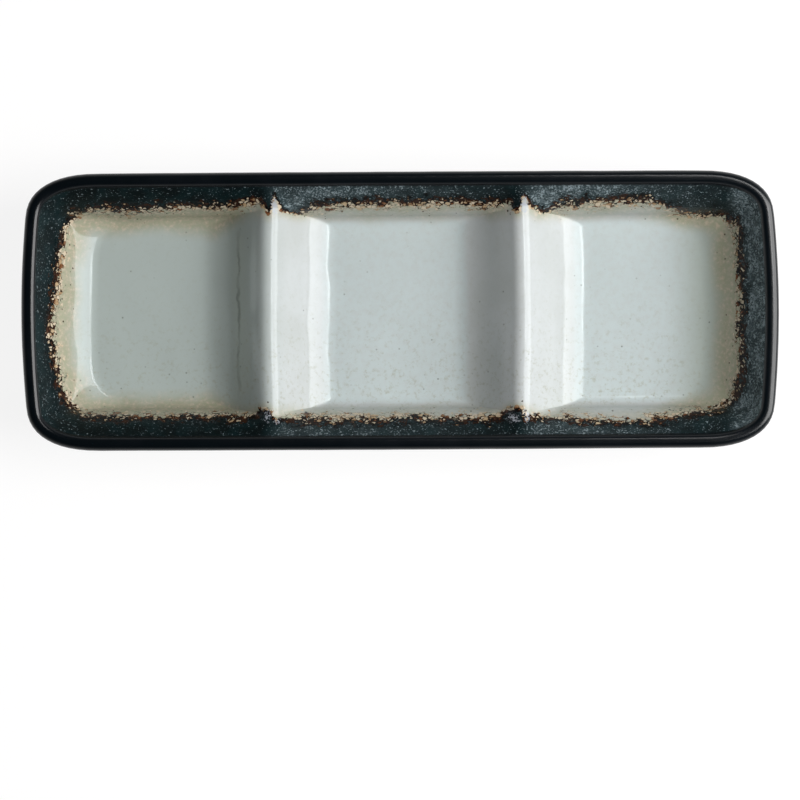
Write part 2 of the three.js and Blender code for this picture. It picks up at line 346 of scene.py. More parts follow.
# Rings of the walls and the lip. The rings of the wells lie closer together towards the floor
FLOOR_SHARES = (0, 0.25, 0.5, 0.75)
WELL_RINGS, WELL_CROWDING = 22, 2.2
BREAK_RINGS, BAND_RINGS = 6, 9
LIP_INSIDE_RINGS, LIP_OUTSIDE_RINGS = 8, 10
OUTSIDE_RINGS = 24


def build_surface():
    """The whole clay surface without its feet: floor, inside, lip, outside and underside."""
    surface = Surface()
    floor_x, _ = eased(along, 0 * along, corner_ease(FLOOR))
    _, floor_y = eased(0 * across, across, corner_ease(FLOOR))
    floor_level = inside_level(floor_x, np.full(len(along), FLOOR))
    rows = [(floor_x, np.full(len(along), y), floor_level) for y in floor_y]
    surface.rows(rows, [well_name] * (len(across) - 1), False)

    low = FLOOR + (BREAK_LOW - FLOOR) * np.linspace(0, 1, WELL_RINGS) ** WELL_CROWDING
    middle = np.linspace(BREAK_LOW, BREAK_HIGH, BREAK_RINGS)
    high = np.linspace(BREAK_HIGH, WALL_TOP, BAND_RINGS)
    levels = np.concatenate([low, middle[1:], high[1:]])
    lip = np.linspace(LIP_START, math.pi / 2, LIP_INSIDE_RINGS)[1:]
    rings = [floor_ring(share) for share in FLOOR_SHARES]
    rings += [inside_ring(level) for level in levels] + [lip_ring(angle) for angle in lip]
    zones = [well_name] * (len(FLOOR_SHARES) + len(low) - 1)
    zones += ["break"] * (len(middle) - 1) + ["band"] * (len(high) - 1 + len(lip))
    surface.rows([reverse(ring) for ring in rings], zones, True)

    over = np.linspace(math.pi / 2, math.pi, LIP_OUTSIDE_RINGS)
    outer = np.linspace(LIP_BASE, BELLY, OUTSIDE_RINGS)[1:]
    rings = [lip_ring(angle) for angle in over] + [outside_ring(level) for level in outer]
    x, y = plan(0, 0)
    rings.append((x, y, outside_level(x, np.full(COLUMNS, BELLY))))
    surface.rows([reverse(ring) for ring in rings], ["outer"] * (len(rings) - 1), True)

    under = outside_level(along, np.full(len(along), BELLY))
    rows = [(along, np.full(len(along), y), under) for y in across[::-1]]
    surface.rows(rows, ["outer"] * (len(across) - 1), False)
    return surface.weld()


def vertex_normals(points, faces):
    """Smooth normals, weighted by area."""
    normals = np.zeros_like(points)
    corners = np.array([face if len(face) == 4 else [*face, face[2]] for face in faces])
    p = points[corners]
    weight = np.cross(p[:, 2] - p[:, 0], p[:, 3] - p[:, 1])
    tri = np.array([len(face) == 3 for face in faces])
    weight[tri] = np.cross(p[tri, 1] - p[tri, 0], p[tri, 2] - p[tri, 0])
    for i in range(4):
        use = weight if i < 3 else np.where(tri[:, None], 0, weight)
        np.add.at(normals, corners[:, i], use)
    return normals / np.linalg.norm(normals, axis=1, keepdims=True)


clay, plan_xy, faces, zones = build_surface()
clay_normals = vertex_normals(clay, faces)
inside_vertex = np.zeros(len(clay), bool)
for face, zone in zip(faces, zones):
    if zone != "outer":
        inside_vertex[face] = True

# Thickness of the glaze, with the slow swell of a brushed and dipped coat, and less of it on the rim
SWELL_SIZE = 15.0
SWELL = 0.22
RIPPLE_SIZE = 6.0
RIPPLE = 0.1
RIPPLE_OFFSET = Vector((31.7, 12.3, 5.1))
RIM_SHARE = 0.25
RIM_FADE = 4
BELLY_FADE = 3


def swell(point):
    broad = noise.noise(Vector(point) / SWELL_SIZE)
    fine = noise.noise(Vector(point) / RIPPLE_SIZE + RIPPLE_OFFSET)
    return SWELL * broad + RIPPLE * fine


thickness = np.where(
    inside_vertex,
    WELL_COAT + (DARK_COAT - WELL_COAT) * smoothstep(clay[:, 2], BREAK_LOW, BREAK_HIGH),
    DARK_COAT,
)
waves = np.array([swell(p) for p in clay])
fade = 1 - (1 - RIM_SHARE) * smoothstep(clay[:, 2], LIP_BASE - RIM_FADE, LIP_BASE)
fade *= np.where(inside_vertex, 1, smoothstep(clay[:, 2], BELLY, BELLY + BELLY_FADE))
thickness = thickness + waves * fade
glaze = clay + clay_normals * thickness[:, None]
glaze_normals = vertex_normals(glaze, faces)

# Where the pale glaze gives way to the dark one: plan distance from a rounded box, positive on the dark side
TIDE_LEFT, TIDE_RIGHT = -112.6, 113.0
TIDE_FRONT, TIDE_BACK = -36.4, 36.0
TIDE_CORNER = 12.0
# Places where the dark glaze reaches further in, or stands back if the push is negative: x, y, reach along and
# across, push
TIDE_BUMPS = (
    (-35.4, 35.0, 3.0, 3.0, 4.2),
    (-43.1, 34.6, 0.9, 3.6, 3.8),
    (-41.3, 36.0, 0.9, 3.0, -3.4),
    (-47.5, 36.0, 2.6, 2.6, -1.0),
    (46.5, 35.0, 3.6, 3.0, 2.6),
    (38.9, 34.6, 0.9, 3.6, 3.6),
    (41.2, 36.0, 0.9, 3.0, -3.0),
    (-44.6, -34.5, 2.4, 4.0, 3.2),
    (-41.2, -36.0, 0.9, 3.0, -1.6),
    (37.6, -34.0, 2.6, 4.0, 4.4),
    (41.0, -36.0, 0.9, 3.0, -1.6),
    (99.0, 35.0, 7.0, 5.0, 3.4),
    (103.0, -31.0, 6.0, 6.0, 2.0),
    (-104.0, -31.0, 7.0, 7.0, 1.0),
    (-114.0, -4.0, 8.0, 13.0, -2.4),
    (2.0, 36.0, 22.0, 4.0, -1.0),
    (74.0, 36.0, 14.0, 4.0, -1.3),
    (0.0, -36.0, 20.0, 4.0, -0.5),
    (76.0, -36.0, 15.0, 4.0, -1.4),
    (-72.0, -36.0, 15.0, 4.0, 0.8),
)


def bell(x, y, middle_x, middle_y, along_reach, across_reach):
    """1 in the middle of a place, and falling off over its reach along and across."""
    return np.exp(-(((x - middle_x) / along_reach) ** 2 + ((y - middle_y) / across_reach) ** 2) / 2)


def tide_distance(x, y):
    centre_x, centre_y = (TIDE_LEFT + TIDE_RIGHT) / 2, (TIDE_FRONT + TIDE_BACK) / 2
    out_x = np.abs(x - centre_x) - (TIDE_RIGHT - TIDE_LEFT) / 2 + TIDE_CORNER
    out_y = np.abs(y - centre_y) - (TIDE_BACK - TIDE_FRONT) / 2 + TIDE_CORNER
    away = np.hypot(np.maximum(out_x, 0), np.maximum(out_y, 0)) - TIDE_CORNER
    away = away + np.minimum(np.maximum(out_x, out_y), 0)
    for *place, push in TIDE_BUMPS:
        away = away + push * bell(x, y, *place)
    return away


tide = tide_distance(plan_xy[:, 0], plan_xy[:, 1])

# Places on the ends of the dividers where silver is painted, partly the thin glaze's own and partly a painted
# highlight: x, y, reach along and across, share
GLINTS = (
    (-40.7, 34.4, 0.8, 2.4, 0.85),
    (40.4, 34.4, 0.9, 2.4, 0.85),
    (-43.2, -33.8, 0.9, 2.2, 0.6),
    (-40.2, -36.0, 0.9, 0.9, 0.6),
    (36.8, -35.2, 1.9, 1.6, 0.6),
    (41.0, -34.8, 0.8, 1.8, 0.7),
)


def glint_share(x, y):
    share = np.zeros_like(x)
    for *place, strength in GLINTS:
        share = np.maximum(share, strength * bell(x, y, *place))
    return share


glint = glint_share(clay[:, 0], clay[:, 1])


def mesh_object(name, points, polygons):
    """An object made of points in millimetres and polygons between them."""
    mesh = bpy.data.meshes.new(name)
    mesh.from_pydata((np.asarray(points) * MM).tolist(), [], polygons)
    mesh.update()
    made = bpy.data.objects.new(name, mesh)
    bpy.context.scene.collection.objects.link(made)
    return made


def coat_shell(name, wanted):
    """A closed shell of glaze over the wanted zone: outer face, inner face against the clay, and a wall round
    its edge."""
    chosen = [face for face, zone in zip(faces, zones) if zone == wanted]
    used = sorted({v for face in chosen for v in face})
    at = {v: i for i, v in enumerate(used)}
    count = len(used)
    edges = {}
    for face in chosen:
        for a, b in zip(face, face[1:] + face[:1]):
            if edges.pop((b, a), None) is None:
                edges[(a, b)] = True
    outer = [[at[v] for v in face] for face in chosen]
    inner = [[at[v] + count for v in reversed(face)] for face in chosen]
    walls = [[at[a] + count, at[b] + count, at[b], at[a]] for a, b in edges]
    made = mesh_object(name, np.concatenate([glaze[used], clay[used]]), outer + inner + walls)
    mesh = made.data
    mesh.polygons.foreach_set("use_smooth", [True] * (len(outer) + len(inner)) + [False] * len(walls))
    own = np.concatenate([glaze_normals[used], -clay_normals[used]])
    flat = np.zeros((len(mesh.polygons), 3), np.float32)
    mesh.polygons.foreach_get("normal", flat.ravel())
    smooth_loops = np.concatenate([np.array(face) for face in outer + inner])
    wall_loops = np.repeat(flat[len(outer) + len(inner):], 4, axis=0)
    mesh.normals_split_custom_set(np.concatenate([own[smooth_loops], wall_loops]).tolist())
    for key, values in (("tide", tide), ("glint", glint)):
        layer = mesh.attributes.new(key, "FLOAT", "POINT")
        layer.data.foreach_set("value", np.concatenate([values[used], values[used]]).astype(np.float32))
    return made


# Feet: where each begins and ends along the length, and its half width
FOOT_ENDS = (
    (-POLE_X - CORNER_ALONG + END_TUCK, -ARCH_X - ARCH_HALF_WIDTH),
    (-ARCH_X + ARCH_HALF_WIDTH, ARCH_X - ARCH_HALF_WIDTH),
    (ARCH_X + ARCH_HALF_WIDTH, POLE_X + CORNER_ALONG - END_TUCK),
)
FOOT_HALF_Y = POLE_Y + CORNER_ACROSS - SIDE_TUCK - FOOT_SETBACK
FOOT_ARC = 10
# Section of a foot from its recess out over the bare ring and up its side: growth of the outline, and level
FOOT_SECTION = (
    (-FOOT_RING - 0.3, FOOT_RECESS),
    (-FOOT_RING, FOOT_RECESS - 0.4),
    (-FOOT_RING, FOOT_EDGE * 0.6),
    (-FOOT_RING + 0.3, FOOT_EDGE * 0.15),
    (-FOOT_RING + 0.7, 0),
    (-FOOT_EDGE, 0),
    (-FOOT_EDGE * 0.35, FOOT_EDGE * 0.12),
    (-FOOT_EDGE * 0.08, FOOT_EDGE * 0.45),
    (0, FOOT_EDGE),
    (0, BELLY + FOOT_ROOT),
)
# Section of the black glaze on the side of a foot, rounded at its lower edge
SLEEVE = FOOT_CLEARANCE + DARK_COAT
SLEEVE_SECTION = (
    (SLEEVE * 0.6, BARE_EDGE),
    (SLEEVE, BARE_EDGE + 0.3),
    (SLEEVE, BELLY - DARK_COAT / 2),
)
# The room that the black glaze leaves round a foot, from well below it to well above
FOOT_ROOM = ((FOOT_CLEARANCE, -30), (FOOT_CLEARANCE, 12))
# Edges sharper than this, in degrees, stay sharp
SHARP_ANGLE = 40


def foot_outline(ends, grow):
    """Plan of a foot, grown sideways, as a counter-clockwise ring of points."""
    low, high = ends[0] + FOOT_SETBACK - grow, ends[1] - FOOT_SETBACK + grow
    half = FOOT_HALF_Y + grow
    radius = FOOT_CORNER + grow
    ring = []
    for quarter, (cx, cy) in enumerate((
        (high - radius, -half + radius), (high - radius, half - radius),
        (low + radius, half - radius), (low + radius, -half + radius),
    )):
        start = (quarter - 1) * math.pi / 2
        ring += [
            (cx + radius * math.cos(a), cy + radius * math.sin(a))
            for a in np.linspace(start, start + math.pi / 2, FOOT_ARC + 1)
        ]
    return ring


def lofted(name, ends, profile):
    """A closed solid whose foot outlines follow a section of growths and levels."""
    points, polygons = [], []
    width = 4 * (FOOT_ARC + 1)
    for grow, level in profile:
        points += [(x, y, level) for x, y in foot_outline(ends, grow)]
    for i in range(len(profile) - 1):
        for j in range(width):
            k = (j + 1) % width
            polygons.append([i * width + j, i * width + k, (i + 1) * width + k, (i + 1) * width + j])
    polygons.append(list(range(width))[::-1])
    polygons.append([(len(profile) - 1) * width + j for j in range(width)])
    return mesh_object(name, points, polygons)


def combined(target, others, operation):
    """The target with each other solid added or taken away."""
    for other in others:
        step = target.modifiers.new(operation, "BOOLEAN")
        step.operation = operation
        step.solver = "MANIFOLD"
        step.object = other
        depsgraph = bpy.context.evaluated_depsgraph_get()
        result = bpy.data.meshes.new_from_object(target.evaluated_get(depsgraph))
        target.modifiers.clear()
        old = target.data
        target.data = result
        bpy.data.meshes.remove(old)
        bpy.data.objects.remove(other)
    return target


def at_each_foot(name, profile):
    return [lofted(name, ends, profile) for ends in FOOT_ENDS]


def shaded(piece):
    piece.data.shade_smooth()
    piece.data.set_sharp_from_angle(angle=math.radians(SHARP_ANGLE))
    return piece


def clay_piece():
    body = mesh_object("stoneware_body_fine", clay, faces)
    return shaded(combined(body, at_each_foot("foot", FOOT_SECTION), "UNION"))


def outer_piece():
    """The black coat, opened round each foot and carried down the foot's side to just above the table."""
    coat = coat_shell("outer_black_glaze_fine", "outer")
    combined(coat, at_each_foot("foot_room", FOOT_ROOM), "DIFFERENCE")
    sleeves = at_each_foot("sleeve", SLEEVE_SECTION)
    for sleeve, room in zip(sleeves, at_each_foot("sleeve_room", FOOT_ROOM)):
        combined(sleeve, [room], "DIFFERENCE")
    return shaded(combined(coat, sleeves, "UNION"))


pieces = {
    "stoneware_body": clay_piece(),
    "outer_black_glaze": outer_piece(),
    "speckled_band_glaze": coat_shell("speckled_band_glaze_fine", "band"),
    "rust_break_glaze": coat_shell("rust_break_glaze_fine", "break"),
    "left_well_glaze": coat_shell("left_well_glaze_fine", "left_well"),
    "centre_well_glaze": coat_shell("centre_well_glaze_fine", "centre_well"),
    "right_well_glaze": coat_shell("right_well_glaze_fine", "right_well"),
}
SLOTS = {
    "stoneware_body": "bare_stoneware",
    "outer_black_glaze": "matt_black_glaze",
    "speckled_band_glaze": "speckled_dark_glaze",
    "rust_break_glaze": "rust_glaze",
    "left_well_glaze": "celadon_glaze",
    "centre_well_glaze": "celadon_glaze",
    "right_well_glaze": "celadon_glaze",
}


# Materials
def linear(red, green, blue):
    """A colour written in 0 to 255 screen values."""
    def channel(v):
        v /= 255
        return v / 12.92 if v <= 0.04045 else ((v + 0.055) / 1.055) ** 2.4
    return channel(red), channel(green), channel(blue), 1.0


class Nodes:
    """Short names for the shader nodes that the glazes use. Lengths are in millimetres."""

    def __init__(self, name):
        self.material = bpy.data.materials.new(name)
        self.material.use_nodes = True
        self.tree = self.material.node_tree
        self.shader = self.tree.nodes["Principled BSDF"]
        place = self.add("ShaderNodeTexCoord")
        scaled = self.add("ShaderNodeVectorMath", operation="SCALE")
        self.tree.links.new(place.outputs["Object"], scaled.inputs[0])
        scaled.inputs["Scale"].default_value = 1 / MM
        self.place = scaled.outputs[0]
        split = self.add("ShaderNodeSeparateXYZ")
        self.tree.links.new(self.place, split.inputs[0])
        self.x, self.y, self.z = split.outputs

    def add(self, kind, **settings):
        node = self.tree.nodes.new(kind)
        for key, value in settings.items():
            setattr(node, key, value)
        return node

    def put(self, socket, value):
        if isinstance(value, bpy.types.NodeSocket):
            self.tree.links.new(value, socket)
        else:
            socket.default_value = value

    def attribute(self, name):
        return self.add("ShaderNodeAttribute", attribute_name=name).outputs["Fac"]

    def math(self, operation, a, b=0.0, clamp=False):
        node = self.add("ShaderNodeMath", operation=operation, use_clamp=clamp)
        self.put(node.inputs[0], a)
        self.put(node.inputs[1], b)
        return node.outputs[0]

    def plus(self, total, *others):
        for other in others:
            total = self.math("ADD", total, other)
        return total

    def times(self, product, *others):
        for other in others:
            product = self.math("MULTIPLY", product, other)
        return product

    def push(self, value, reach):
        """A number from 0 to 1, turned into a push to and fro with this reach in all."""
        return self.times(self.math("SUBTRACT", value, 0.5), reach)

    def step(self, value, low, high, to_low=0.0, to_high=1.0):
        """A smooth change from one number to another while the value goes from low to high."""
        node = self.add("ShaderNodeMapRange", interpolation_type="SMOOTHSTEP")
        for socket, given in zip(node.inputs, (value, low, high, to_low, to_high)):
            self.put(socket, given)
        return node.outputs[0]

    def mix(self, share, a, b):
        """A mix of two colours, which have their own sockets on the node."""
        node = self.add("ShaderNodeMix", data_type="RGBA")
        self.put(node.inputs[0], share)
        self.put(node.inputs[6], a)
        self.put(node.inputs[7], b)
        return node.outputs[2]

    def blend(self, share, a, b):
        """A mix of two numbers."""
        node = self.add("ShaderNodeMix", data_type="FLOAT")
        self.put(node.inputs[0], share)
        self.put(node.inputs[2], a)
        self.put(node.inputs[3], b)
        return node.outputs[0]

    def moved(self, offset):
        node = self.add("ShaderNodeVectorMath", operation="ADD")
        self.put(node.inputs[0], self.place)
        node.inputs[1].default_value = offset
        return node.outputs[0]

    def noise(self, size, detail=2.0, roughness=0.5, offset=(0.0, 0.0, 0.0)):
        node = self.add("ShaderNodeTexNoise")
        self.put(node.inputs["Vector"], self.moved(offset))
        node.inputs["Scale"].default_value = 1 / size
        node.inputs["Detail"].default_value = detail
        node.inputs["Roughness"].default_value = roughness
        return node.outputs["Fac"]

    def wavered(self, size, reach):
        """The place, shifted to and fro by up to about half the reach."""
        shift = self.add("ShaderNodeTexNoise")
        self.put(shift.inputs["Vector"], self.place)
        shift.inputs["Scale"].default_value = 1 / size
        middle = self.add("ShaderNodeVectorMath", operation="SUBTRACT")
        self.put(middle.inputs[0], shift.outputs["Color"])
        middle.inputs[1].default_value = (0.5, 0.5, 0.5)
        node = self.add("ShaderNodeVectorMath", operation="MULTIPLY_ADD")
        self.put(node.inputs[0], middle.outputs[0])
        node.inputs[1].default_value = (reach, reach, reach)
        self.put(node.inputs[2], self.place)
        return node.outputs[0]

    def cells(self, size, offset=(0.0, 0.0, 0.0), place=None):
        """Grains of a size: distance from the grain's middle, in grains, and three numbers drawn for each."""
        node = self.add("ShaderNodeTexVoronoi")
        self.put(node.inputs["Vector"], place or self.moved(offset))
        node.inputs["Scale"].default_value = 1 / size
        split = self.add("ShaderNodeSeparateColor")
        self.tree.links.new(node.outputs["Color"], split.inputs[0])
        return node.outputs["Distance"], *split.outputs

    def cracks(self, size, place):
        """Distance from the nearest border between grains of a size, in grains."""
        node = self.add("ShaderNodeTexVoronoi", feature="DISTANCE_TO_EDGE")
        self.put(node.inputs["Vector"], place)
        node.inputs["Scale"].default_value = 1 / size
        return node.outputs["Distance"]

    def ramp(self, value, *stops):
        node = self.add("ShaderNodeValToRGB")
        line = node.color_ramp
        while len(line.elements) < len(stops):
            line.elements.new(0.5)
        for element, (position, colour) in zip(line.elements, stops):
            element.position = position
            element.color = colour
        self.put(node.inputs[0], value)
        return node.outputs[0]

    def bump(self, height, strength, depth):
        node = self.add("ShaderNodeBump")
        node.inputs["Strength"].default_value = strength
        node.inputs["Distance"].default_value = depth * MM
        self.put(node.inputs["Height"], height)
        return node.outputs[0]

    def surface(self, **values):
        """The material, with these values on the shader's sockets, named here with low lines for blanks."""
        for key, value in values.items():
            self.put(self.shader.inputs[key.replace("_", " ")], value)
        return self.material

    def glazed(self, colour, rough, normal, coat, gloss):
        return self.surface(
            Base_Color=colour, Roughness=rough, Normal=normal, Coat_Weight=coat,
            Coat_Roughness=COAT_ROUGHNESS, Specular_IOR_Level=gloss, Specular_Tint=COOL,
        )


CELADON = linear(193, 199, 200)
CELADON_DEEP = linear(185, 191, 190)
CELADON_POOL = linear(191, 204, 205)
CELADON_SHADED = linear(176, 188, 185)
CELADON_SHADED_END = linear(158, 168, 157)
CELADON_DARK_REFLECTION = linear(98, 107, 101)
FRECKLE = linear(158, 160, 143)
FRINGE = linear(172, 167, 147)
FRINGE_OLIVE = linear(160, 163, 140)
BEIGE = linear(200, 187, 163)
OCHRE = linear(174, 150, 117)
RUST = linear(112, 70, 42)
UMBER = linear(50, 29, 18)
SOOT = linear(11, 10, 9)
BAND = linear(2, 13, 15)
BAND_TEAL = linear(7, 28, 31)
BAND_SHEEN = linear(66, 80, 84)
BAND_SPECK_AND_GLINT = linear(152, 168, 174)
BLACK = linear(2, 8, 13)
BLACK_LIGHT = linear(7, 13, 18)
DUST = linear(36, 42, 50)
SPECK = linear(104, 108, 100)
SILVER_AND_HIGHLIGHT = linear(172, 178, 187)
CLAY = linear(150, 131, 108)
CLAY_DEEP = linear(126, 108, 88)
CLAY_IRON = linear(82, 58, 40)

# Specular level of each coat, its tint, and the clear coat that makes the rim shine
PALE_GLOSS = 0.28
BREAK_GLOSS = 0.12
DARK_GLOSS = 0.08
WALL_GLOSS = 0.12
COOL = (0.9, 0.97, 1.0, 1.0)
RIM_COAT = 0.6
COAT_ROUGHNESS = 0.2
# Roughness of the pale glaze, and from the smoothest to the roughest grain of the dark ones
PALE_ROUGHNESS = 0.09
DARK_ROUGHNESS = (0.3, 0.46)
BLACK_ROUGHNESS = (0.42, 0.56)
BLACK_RIM_ROUGHNESS = (0.18, 0.26)

# Levels over which the rim, the lip, the clear coat and the pool of the wells set in
RIM_LEVELS = (22.0, 27.5)
LIP_LEVELS = (28.3, 29.1)
COAT_LEVELS = (26.0, 28.3)
POOL_LEVELS = (11.4, 10.2)
# Where the painted dark line of a reflection edge lies on the left-facing flank of the left divider, and where
# it fades to the front and back
FLANK_LINE_X = -52.8
FLANK_LINE_ENDS = (22.0, 30.0)
# Stretches along or across the dish over which painted shade darkens the pale glaze of the left well, painted
# shade darkens and greens it at the right end, or the glaze gets freckles and specks
SHADE_LEFT_WELL = (-34.0, -52.0)
SHADE_RIGHT_END = (84.0, 106.0)
FRECKLED_FRONT = (12.0, -30.0)
SPECKED_FRONT = (0.0, -30.0)
# Stretches over which the beige fringe widens, or narrows in front
FRINGE_RIGHT = (80.0, 106.0)
FRINGE_LEFT = (-46.0, -62.0)
FRINGE_CORNERS = (8.0, 24.0)
FRINGE_LEFT_END = (-98.0, -108.0)
FRINGE_FRONT = (-10.0, -30.0)
LUMP_SIZE = 1.5
# Stretches over which the painted sheen sets in and thins out: past the left divider, past the right one, on
# the two ends, and from front to back
SHEEN_LEFT_START, SHEEN_LEFT_THIN, SHEEN_LEFT_STOP = (-45.0, -36.0), (-30.0, 36.0), (30.0, 38.0)
SHEEN_RIGHT_START, SHEEN_RIGHT_THIN = (37.0, 46.0), (52.0, 106.0)
SHEEN_RIGHT_END, SHEEN_LEFT_END = (104.0, 111.0), (-104.0, -113.0)
SHEEN_BACK = (-5.0, 5.0)


# The noises and grains below are shifted by offsets, so that their patterns do not line up
def black_glaze(n):
    """Colour, roughness and grain of the plain black glaze on the rim and the outside, and the rim's share."""
    drift = n.noise(9.0, 3.0, 0.55, (4.0, 8.0, 1.0))
    grain = n.noise(0.55, 3.0, 0.6, (2.0, 5.0, 9.0))
    colour = n.mix(n.step(drift, 0.42, 0.68), BLACK, BLACK_LIGHT)
    rim = n.step(n.z, *RIM_LEVELS)
    wall_rough = n.step(grain, 0.3, 0.75, *BLACK_ROUGHNESS)
    rim_rough = n.step(grain, 0.3, 0.75, *BLACK_RIM_ROUGHNESS)
    return colour, n.blend(rim, wall_rough, rim_rough), grain, rim


def painted_flank_line(n):
    """Share of the painted dark line that stands for a reflection edge on the left divider's flank."""
    waver = n.push(n.noise(7.0, 3.0, 0.6, (0.0, 5.0, 5.0)), 3.0)
    away = n.math("ABSOLUTE", n.plus(n.math("SUBTRACT", n.x, FLANK_LINE_X), waver))
    faint = n.step(n.noise(8.0, 2.0, 0.5, (9.0, 0.0, 3.0)), 0.3, 0.65, 0.2, 0.5)
    ends = n.step(n.math("ABSOLUTE", n.y), *FLANK_LINE_ENDS, 1.0, 0.0)
    return n.times(n.step(away, 0.1, 0.7, 1.0, 0.0), faint, ends)


def beige_fringe(n, tide, broad):
    """Share of the beige fringe, which is wider at the ends and in the corners of the left well."""
    right = n.step(n.x, *FRINGE_RIGHT, 0.0, 4.5)
    corners = n.step(n.math("ABSOLUTE", n.y), *FRINGE_CORNERS, 0.0, 5.0)
    left = n.times(n.step(n.x, *FRINGE_LEFT), corners)
    left = n.math("MAXIMUM", left, n.step(n.x, *FRINGE_LEFT_END, 0.0, 2.6))
    front = n.step(n.y, *FRINGE_FRONT, 0.0, -1.2)
    spread = n.plus(n.times(broad, 7.0), right, left, front)
    return n.step(n.plus(tide, spread), -8.0, -0.8)


def pale_glaze(n, tide, broad, mottle):
    """Colour of the pale glaze, with painted shade in the left well and at the right end and a painted dark
    line on the left divider, and beige and mottled towards the edge.
    """
    drift = n.noise(22.0, 2.0, 0.5, (11.0, 2.0, 6.0))
    pale = n.mix(n.step(drift, 0.35, 0.7), CELADON, CELADON_DEEP)
    pale = n.mix(n.step(n.z, *POOL_LEVELS, 0.0, 0.9), pale, CELADON_POOL)
    cloud = n.noise(2.4, 4.0, 0.65, (1.0, 6.0, 2.0))
    pale = n.mix(n.step(cloud, 0.4, 0.7, 0.0, 0.4), pale, CELADON_DEEP)
    # Painted shade: the left well darker, as if it lay further from the lamp on the right
    pale = n.mix(n.step(n.x, *SHADE_LEFT_WELL), pale, CELADON_SHADED)
    # Painted shade: the end of the right well, which faces away from the lamp, darker and greener
    pale = n.mix(n.step(n.x, *SHADE_RIGHT_END, 0.0, 0.8), pale, CELADON_SHADED_END)
    freckle = n.step(n.noise(1.5, 4.0, 0.7, (3.0, 8.0, 6.0)), 0.5, 0.72)
    pale = n.mix(n.times(freckle, n.step(n.y, *FRECKLED_FRONT, 0.12, 0.6)), pale, FRECKLE)
    # Painted reflection: a dark line at the foot of the left divider's left-facing flank
    pale = n.mix(painted_flank_line(n), pale, CELADON_DARK_REFLECTION)
    beige = n.mix(n.step(mottle, 0.42, 0.6), FRINGE, FRINGE_OLIVE)
    beige = n.mix(n.step(mottle, 0.45, 0.32, 0.0, 0.6), beige, BEIGE)
    pale = n.mix(beige_fringe(n, tide, broad), pale, beige)
    away, lot, tone, _ = n.cells(2.6, (5.0, 1.0, 8.0))
    scarce = n.step(n.y, *SPECKED_FRONT, 0.78, 0.55)
    speck = n.times(n.math("GREATER_THAN", lot, scarce), n.step(away, 0.05, 0.17, 1.0, 0.0))
    return n.mix(n.times(speck, n.times(tone, 0.8)), pale, SPECK)


def iron_edge(n, edge, pale):
    """The pale glaze with lumps of iron along its edge, dark cracks between them that widen towards the dark
    glaze, and fine dots. Also the number drawn for each lump."""
    place = n.wavered(1.3, 2.0)
    _, lot, tone, turn = n.cells(LUMP_SIZE, place=place)
    crack = n.cracks(LUMP_SIZE, place)
    lumps = n.math("LESS_THAN", lot, n.step(edge, -3.6, -0.6))
    stain = n.ramp(
        n.math("ADD", tone, n.step(edge, -2.8, 1.0, 0.3, -0.08), clamp=True),
        (0.0, SOOT), (0.14, UMBER), (0.3, RUST), (0.5, OCHRE), (0.8, BEIGE),
    )
    colour = n.mix(lumps, pale, stain)
    uneven = n.push(n.noise(2.2, 2.0, 0.5, (4.0, 4.0, 1.0)), 0.5)
    width = n.plus(n.step(edge, -3.2, 1.2, -0.08, 0.42), uneven)
    wide = n.step(n.math("SUBTRACT", crack, width), -0.05, 0.07, 1.0, 0.0)
    hair = n.times(n.step(crack, 0.02, 0.1, 0.9, 0.0), n.step(edge, -3.4, -1.4))
    cracked = n.times(n.math("MAXIMUM", wide, hair), n.step(edge, -4.2, -2.4))
    colour = n.mix(cracked, colour, n.mix(n.step(turn, 0.3, 0.9), SOOT, UMBER))
    away, fine_lot, fine_tone, _ = n.cells(1.1, (9.0, 6.0, 4.0))
    dots = n.math("LESS_THAN", fine_lot, n.step(edge, -7.0, -1.0, 0.0, 0.2))
    dot = n.step(n.math("SUBTRACT", away, n.times(fine_tone, 0.3)), 0.0, 0.14, 0.9, 0.0)
    return n.mix(n.times(dots, dot), colour, UMBER), lot


